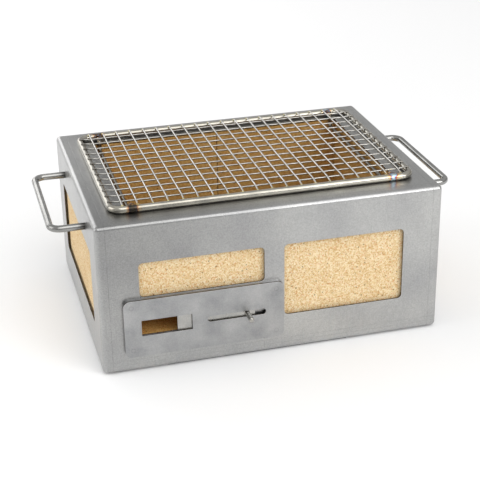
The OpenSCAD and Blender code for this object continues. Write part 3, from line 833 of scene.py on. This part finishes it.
def buildGrate():
    grate = {"frameBend": 14.0, "crossCount": 20, "longCount": 13, "crimp": 0.18, "press": 0.2, "perPitch": 8,
             "sway": 0.3, "overRod": 1.5, "sunk": 0.8, "frontTip": 3.2, "backTip": 1.0, "tipFall": 11.0,
             "backDip": 0.3, "backFall": 8.0, "crossSteps": 60, "wireSides": 10, "wireEnd": 0.4}
    low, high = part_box("grate_frame")
    rod = (high.z - low.z) / 2
    halfX, halfY, z = high.x - rod, high.y - rod, (high.z + low.z) / 2
    corners = [(-halfX, -halfY, z), (halfX, -halfY, z), (halfX, halfY, z), (-halfX, halfY, z)]
    bm = bmesh.new()
    sweepRod(bm, bentPath(corners, grate["frameBend"] * mm, True, 14), rod, 32, True)
    addPiece("grate_frame_rod", bm, rodEdges, frameSteel, "cooking_grate",
             ["grate_frame"])

    longLow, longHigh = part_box("grate_long_wires")
    crossLow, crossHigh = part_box("grate_cross_wires")
    wire = (longHigh.z - longLow.z) / 2
    longZ, crossZ = (longLow.z + longHigh.z) / 2, (crossLow.z + crossHigh.z) / 2
    firstX = crossLow.x + wire
    pitch = (crossHigh.x - crossLow.x - 2 * wire) / (grate["crossCount"] - 1)
    spacing = (longHigh.y - longLow.y - 2 * wire) / (grate["longCount"] - 1)
    chance = random.Random(31)
    spots, burntSpots = bmesh.new(), bmesh.new()
    bm = bmesh.new()
    endX = halfX + grate["overRod"] * mm
    endZ = z + rod + wire - grate["sunk"] * mm
    for n in range(grate["longCount"]):
        y = longLow.y + wire + n * spacing
        drift = chance.uniform(0, 40)
        path = []
        count = round(2 * endX / pitch * grate["perPitch"])
        for i in range(count + 1):
            x = -endX + 2 * endX * i / count
            wave = math.sin(math.pi * (x - firstX) / pitch) ** 2
            height = longZ + (grate["press"] + grate["crimp"] * wave) * mm
            rise = smooth((abs(x) + firstX) / (halfX - 2.5 * mm + firstX))
            height += (endZ - height) * rise
            sway = grate["sway"] * mm * noise.noise(Vector((x * 22, drift, 0)))
            path.append(Vector((x, y + sway, height)))
        sweepRod(bm, path, wire, grate["wireSides"], endRound=grate["wireEnd"] * mm)
        for end in (0, -1):
            foot = path[end] - Vector((math.copysign(1.6 * mm, path[end].x), 0, 1.0 * mm))
            size = [wire * chance.uniform(1.3, 1.9), wire * chance.uniform(1.3, 1.9), wire * 0.9]
            addLump(burntSpots, foot, size, 0.35, n * 2 + end)
    addPiece("grate_wires_long", bm, rodEdges, longWireShadedSteel, "cooking_grate",
             ["grate_long_wires"])

    bm = bmesh.new()
    for n in range(grate["crossCount"]):
        x = firstX + n * pitch
        drift = chance.uniform(0, 40)
        front, back = -halfY + grate["frontTip"] * mm, halfY - grate["backTip"] * mm
        path = []
        for i in range(grate["crossSteps"] + 1):
            y = front + (back - front) * i / grate["crossSteps"]
            fall = 1 - smooth((y - front) / (grate["tipFall"] * mm))
            height = crossZ - fall * (crossZ - z - grate["frontTip"] * mm)
            height -= grate["backDip"] * mm * smooth(1 + (y - back) / (grate["backFall"] * mm))
            sway = 0.6 * grate["sway"] * mm * noise.noise(Vector((drift, y * 25, 5)))
            path.append(Vector((x + sway, y, height)))
        sweepRod(bm, path, wire, grate["wireSides"], endRound=grate["wireEnd"] * mm)
        for end, drop in ((0, 0.5), (-1, 0.9)):
            size = [wire * chance.uniform(1.3, 1.7), wire * 1.35, wire * chance.uniform(0.9, 1.2)]
            inward = Vector((0, -math.copysign(0.6 * mm, path[end].y), -drop * mm))
            addLump(spots, path[end] + inward, size, 0.35, 60 + n * 2 + end)
    addPiece("grate_wires_cross", bm, rodEdges, crossWireLitSteel, "cooking_grate",
             ["grate_cross_wires"])
    addPiece("cross_wire_welds", spots, allSmooth, wireWeldSteel, "cooking_grate")
    addPiece("long_wire_welds", burntSpots, allSmooth, weldSteel, "cooking_grate")

    runner = {"endInset": 12.5, "bend": 5.0, "bead": (4.6, 2.6, 2.2)}
    beads = bmesh.new()
    for name in ("grate_runner_left", "grate_runner_right"):
        low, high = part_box(name)
        radius = (high.x - low.x) / 2
        x, foot = (low.x + high.x) / 2, low.z + radius
        leg = high.y - runner["endInset"] * mm
        bm = bmesh.new()
        half = [(x, leg, foot), (x, leg, z), (x, high.y, z)]
        path = bentPath([(x, -y, height) for x, y, height in half[::-1]] + half, runner["bend"] * mm, steps=10)
        sweepRod(bm, path, radius, 24, endRound=0.5 * mm)
        addPiece(name + "_rod", bm, rodEdges, runnerShadedSteel, "cooking_grate", [name])
        for sy in (-1, 1):
            for k, (dx, dz) in enumerate(((-2.6, 1.2), (2.6, 1.3), (0.0, 2.9))):
                place = (x + dx * mm, sy * (halfY - rod + 0.3 * mm), z + dz * mm)
                size = [s * mm * chance.uniform(0.6, 0.85) for s in runner["bead"]]
                addLump(beads, place, size, 0.3, 120 + k * 5 + sy + x * 100)
    addPiece("runner_welds", beads, allSmooth, weldSteel, "cooking_grate")


# the charcoal grate

def buildCharcoalGrate():
    plate = {"radius": 4.0, "hole": 10.0, "pitch": 20.0, "edge": 0.35, "legBend": 9.0}
    low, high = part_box("charcoal_grate_plate")
    size = high - low
    flat = lambda u, v, d: Vector((u, v, d))
    bm = bmesh.new()
    addSlab(bm, flat, (0, 0), (size.x, size.y), plate["radius"] * mm, (low.z, high.z), plate["edge"] * mm)
    cutters = bmesh.new()
    rows = [int((s / mm - 2 * plate["hole"]) / plate["pitch"] / 2) for s in (size.x, size.y)]
    for i in range(-rows[0], rows[0] + 1):
        for j in range(-rows[1], rows[1] + 1):
            addSlab(cutters, flat, (i * plate["pitch"] * mm, j * plate["pitch"] * mm), (plate["hole"] * mm,) * 2,
                    plate["hole"] / 2 * mm, (low.z, high.z), plate["edge"] * mm, True, 6)
    bmesh.ops.recalc_face_normals(bm, faces=bm.faces)
    addPiece("charcoal_plate", cutAway(bm, cutters), sheetEdges, charcoalSteel, "charcoal_grate",
             ["charcoal_grate_plate"])
    for name in ("charcoal_leg_left", "charcoal_leg_right"):
        low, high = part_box(name)
        radius = (high.x - low.x) / 2
        x, foot, y = (low.x + high.x) / 2, low.z + radius, high.y - radius
        bm = bmesh.new()
        corners = [(x, -y, high.z), (x, -y, foot), (x, y, foot), (x, y, high.z)]
        sweepRod(bm, bentPath(corners, plate["legBend"] * mm), radius, 24, endRound=0.3 * mm)
        addPiece(name + "_rod", bm, rodEdges, charcoalSteel, "charcoal_grate",
                 [name])


buildCasing()
print("casing folded")
buildBricks()
print("bricks pressed")
buildVent()
buildStud()
print("vent fitted")
buildHandles()
print("handles bent")
buildGrate()
print("cooking grate welded")
buildCharcoalGrate()
print("charcoal grate cut")

carriedOver = {"base_plate": baseShadedSteel, "base_screws": screwSteel, "handle_weld_collars": weldSteel,
               "vent_spacer_frame": coverSteel}
for nodeName, material in carriedOver.items():
    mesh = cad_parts[nodeName].data
    mesh.materials.clear()
    mesh.materials.append(material)
